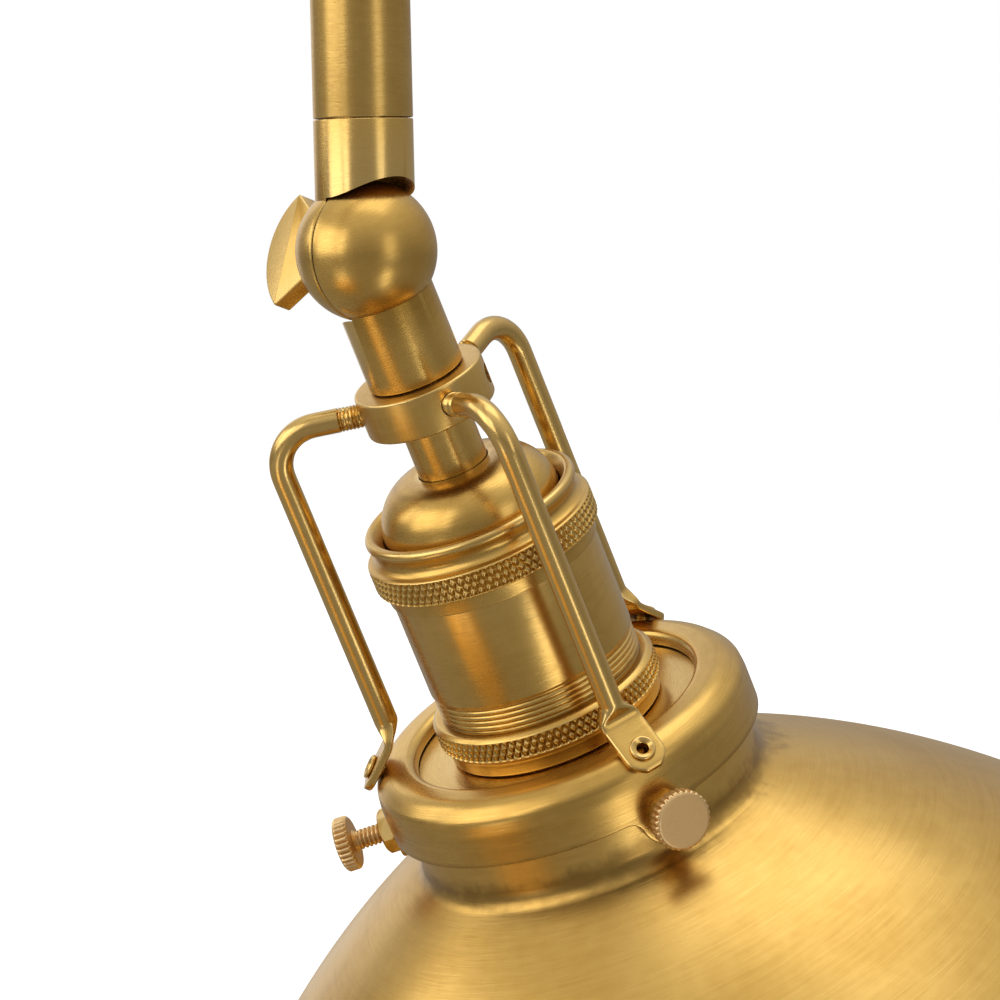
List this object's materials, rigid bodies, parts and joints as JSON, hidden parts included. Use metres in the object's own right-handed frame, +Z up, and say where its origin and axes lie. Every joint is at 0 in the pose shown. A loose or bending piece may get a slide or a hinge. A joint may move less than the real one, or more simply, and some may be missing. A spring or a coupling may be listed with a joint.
{
  "type": "swing arm desk lamp",
  "caption": "Brass desk lamp: weighted round base, column, boom and drop tube joined by ball swivels with wing keys, and a dome shade on a fitter ring hung from bent rods.",
  "frame": {"origin": "centre of the base's underside, on the desk", "axes": "+Z up the column, +X along the boom at rest, +Y towards the swivels' wing keys"},
  "size_m": [0.584, 0.23, 0.4913],
  "materials": {
    "satin_brass": "satin, brushed round each turned piece, lightly aged",
    "bright_brass": "machined, unlacquered",
    "cast_iron": "as cast",
    "zinc_steel": "zinc plated",
    "felt": "felt",
    "ceramic": "unglazed",
    "bulb_glass": "frosted inside",
    "bushing_plastic": "moulded"
  },
  "bodies": {
    "base": {"base_shell": "satin_brass", "base_felt": "felt", "base_cover": "zinc_steel", "base_weight": "cast_iron", "base_nut": "zinc_steel", "base_spindle": "zinc_steel", "base_collar": "satin_brass", "cord_inlet": "bushing_plastic", "switch_barrel": "bright_brass", "switch_nut": "satin_brass"},
    "switch_push": {"switch_button": "bright_brass"},
    "column": {"column_tube": "satin_brass", "shoulder_fixed_half": "satin_brass", "shoulder_washer": "bright_brass"},
    "shoulder_key": {"shoulder_wing_key": "satin_brass"},
    "boom": {"shoulder_moving_half": "satin_brass", "boom_tube": "satin_brass", "elbow_fixed_half": "satin_brass", "elbow_washer": "bright_brass"},
    "elbow_key": {"elbow_wing_key": "satin_brass"},
    "drop": {"elbow_moving_half": "satin_brass", "drop_tube": "satin_brass", "wrist_fixed_half": "satin_brass", "wrist_washer": "bright_brass"},
    "wrist_key": {"wrist_wing_key": "satin_brass"},
    "head": {"wrist_moving_half": "satin_brass", "head_neck": "satin_brass", "rod_hub": "satin_brass", "hub_set_screw": "zinc_steel", "gallery_rod_1": "satin_brass", "gallery_rod_2": "satin_brass", "gallery_rod_3": "satin_brass", "gallery_rivet_1": "satin_brass", "gallery_rivet_2": "satin_brass", "gallery_rivet_3": "satin_brass", "socket_cap": "satin_brass", "socket_cap_ring": "satin_brass", "socket_shell": "satin_brass", "shade_ring": "satin_brass", "socket_liner": "ceramic", "socket_screw_shell": "bright_brass", "socket_contact": "bright_brass", "fitter_ring": "satin_brass", "thumb_nut_1": "satin_brass", "thumb_nut_2": "satin_brass", "thumb_nut_3": "satin_brass", "shade": "satin_brass", "bulb_cap": "zinc_steel", "bulb_glass": "bulb_glass"},
    "screw_1": {"thumb_screw_1": "bright_brass"},
    "screw_2": {"thumb_screw_2": "bright_brass"},
    "screw_3": {"thumb_screw_3": "bright_brass"}
  },
  "joints": [
    {"name": "column_swing", "type": "hinge", "parent": "base", "child": "column", "pos_m": [0, 0, 0.05], "axis": [0, 0, 1], "range_deg": [-165, 165]},
    {"name": "boom_lift", "type": "hinge", "parent": "column", "child": "boom", "pos_m": [0, 0, 0.48], "axis": [0, -1, 0], "range_deg": [0, 180]},
    {"name": "elbow_bend", "type": "hinge", "parent": "boom", "child": "drop", "pos_m": [0.28, 0, 0.48], "axis": [0, -1, 0], "range_deg": [0, 180]},
    {"name": "head_tilt", "type": "hinge", "parent": "drop", "child": "head", "pos_m": [0.28, 0, 0.34], "axis": [0, -1, 0], "range_deg": [-116, 63.7]},
    {"name": "shoulder_key_turn", "type": "hinge", "parent": "column", "child": "shoulder_key", "pos_m": [0, 0, 0.48], "axis": [0, 1, 0], "range_deg": [0, 180]},
    {"name": "elbow_key_turn", "type": "hinge", "parent": "boom", "child": "elbow_key", "pos_m": [0.28, 0, 0.48], "axis": [0, 1, 0], "range_deg": [0, 180]},
    {"name": "wrist_key_turn", "type": "hinge", "parent": "drop", "child": "wrist_key", "pos_m": [0.28, 0, 0.34], "axis": [0, 1, 0], "range_deg": [0, 180]},
    {"name": "thumb_screw_1_travel", "type": "slide", "parent": "head", "child": "screw_1", "axis": [-0.2622, -0.9563, -0.1293], "range_m": [0, 0.005]},
    {"name": "thumb_screw_2_travel", "type": "slide", "parent": "head", "child": "screw_2", "axis": [0.874, 0.225, 0.4308], "range_m": [0, 0.005]},
    {"name": "thumb_screw_3_travel", "type": "slide", "parent": "head", "child": "screw_3", "axis": [-0.6117, 0.7314, -0.3015], "range_m": [-0.0045, 0.0015]},
    {"name": "switch_press", "type": "slide", "parent": "base", "child": "switch_push", "axis": [0, 0, -1], "range_m": [0, 0.0028], "stiffness_N_per_m": 350, "springref_m": -0.002}
  ]
}
